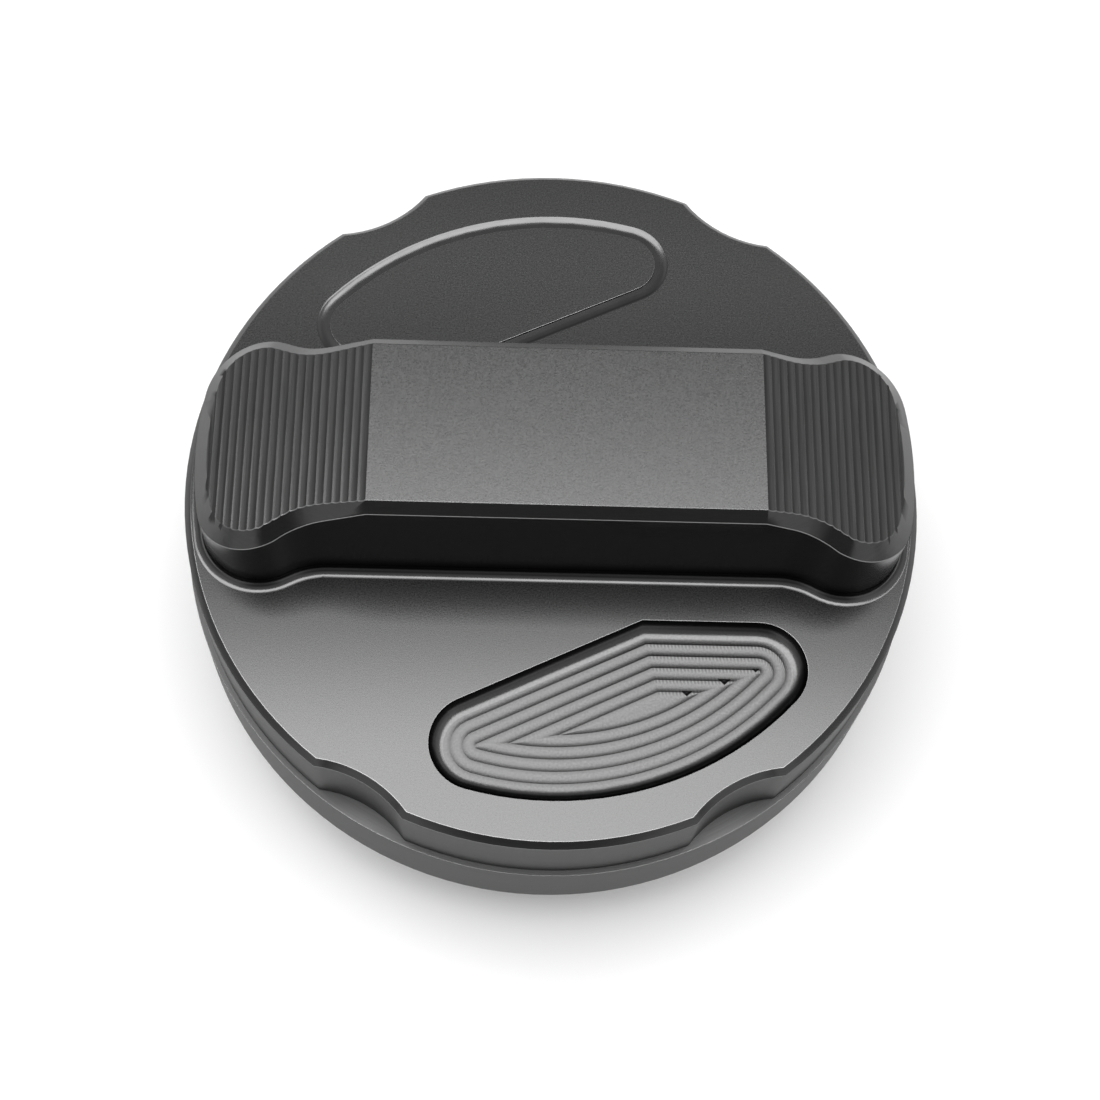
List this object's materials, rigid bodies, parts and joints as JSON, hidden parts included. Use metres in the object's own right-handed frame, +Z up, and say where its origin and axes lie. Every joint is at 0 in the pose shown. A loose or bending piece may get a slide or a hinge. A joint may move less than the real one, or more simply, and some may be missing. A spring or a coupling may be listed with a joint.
{
  "type": "fuel cap",
  "caption": "Screw-in fuel cap with a machined metal cover and grip bar, a torque-limiting ratchet, a threaded neck with a seal, and pressure and vacuum relief valves.",
  "frame": {"origin": "centre of the neck's bottom face, which the cap stands on", "axes": "+Z up along the neck to the grip, +X along the grip bar, -Y towards the milled finger pocket"},
  "size_m": [0.0868, 0.0868, 0.0513],
  "materials": {
    "cover_metal": "blasted and dark anodised",
    "ring_plastic": "moulded",
    "plate_steel": "stamped",
    "screw_steel": "black oxide",
    "washer_plastic": "smooth",
    "closure_plastic": "moulded",
    "seal_rubber": "matte",
    "housing_plastic": "moulded",
    "valve_brass": "turned",
    "spring_steel": "drawn"
  },
  "bodies": {
    "closure": {"closure_body": "closure_plastic", "main_seal": "seal_rubber", "thrust_washer": "washer_plastic", "valve_housing": "housing_plastic", "housing_oring": "seal_rubber", "pressure_spring": "spring_steel", "spring_seat": "plate_steel", "seat_ring": "spring_steel", "inlet_screen": "plate_steel", "screen_ring": "spring_steel"},
    "cover": {"cap_shell": "cover_metal", "drive_ring": "ring_plastic", "retaining_plate": "plate_steel", "drive_screws": "screw_steel"},
    "pressure_valve": {"pressure_plate": "valve_brass", "pressure_seal": "seal_rubber", "vacuum_spring": "spring_steel"},
    "vacuum_valve": {"vacuum_poppet": "valve_brass", "vacuum_seal": "seal_rubber", "vacuum_clip": "spring_steel"}
  },
  "joints": [
    {"name": "cover_turn", "type": "hinge", "parent": "closure", "child": "cover", "pos_m": [0, 0, 0.0342], "axis": [0, 0, 1], "continuous": true},
    {"name": "pressure_lift", "type": "slide", "parent": "closure", "child": "pressure_valve", "axis": [0, 0, 1], "range_m": [0, 0.0025], "stiffness_N_per_m": 900, "springref_m": -0.004, "deforming": ["pressure_spring"]},
    {"name": "vacuum_drop", "type": "slide", "parent": "pressure_valve", "child": "vacuum_valve", "axis": [0, 0, -1], "range_m": [0, 0.0012], "stiffness_N_per_m": 150, "springref_m": -0.002, "deforming": ["vacuum_spring"]}
  ]
}
